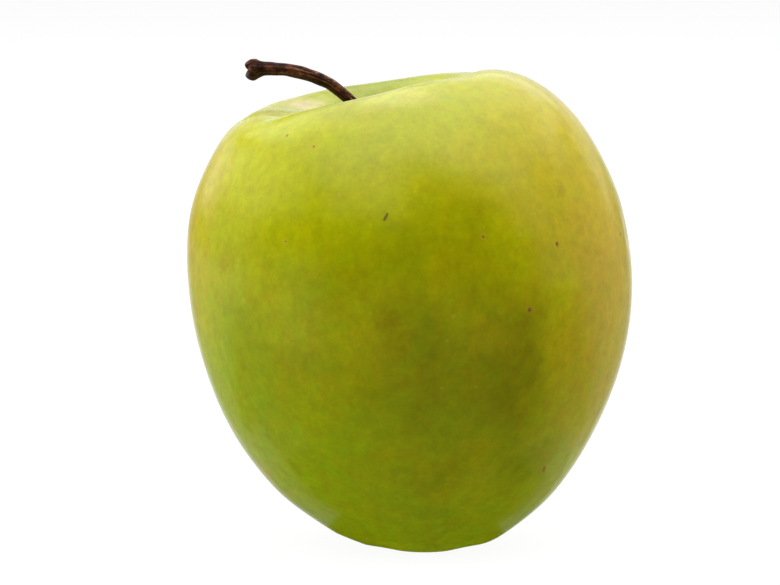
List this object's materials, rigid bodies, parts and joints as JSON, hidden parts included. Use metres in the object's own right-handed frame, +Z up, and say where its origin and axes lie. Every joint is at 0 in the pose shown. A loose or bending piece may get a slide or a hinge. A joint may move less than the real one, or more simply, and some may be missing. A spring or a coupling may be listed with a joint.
{
  "type": "green apple",
  "caption": "Whole green dessert apple: tapering fruit with lopsided shoulders, a curved dry stem in the top cavity and a dried calyx in the basin below. Stands on its lobed foot.",
  "frame": {"origin": "middle of the bounding box, on the surface that the apple stands on", "axes": "+Z up along the fruit, +X towards the high shoulder, the stem bends over to -X, -Y is the front"},
  "size_m": [0.0756, 0.0756, 0.0824],
  "materials": {
    "fruit_skin": "smooth waxy skin, yellow-green to olive, with a satin shine",
    "stem_bark": "dry, dark brown, finely ridged bark",
    "dry_sepal": "dry, matt, grey-brown"
  },
  "bodies": {
    "root": {"fruit": "fruit_skin", "stem": "stem_bark", "calyx": "dry_sepal"}
  },
  "joints": []
}
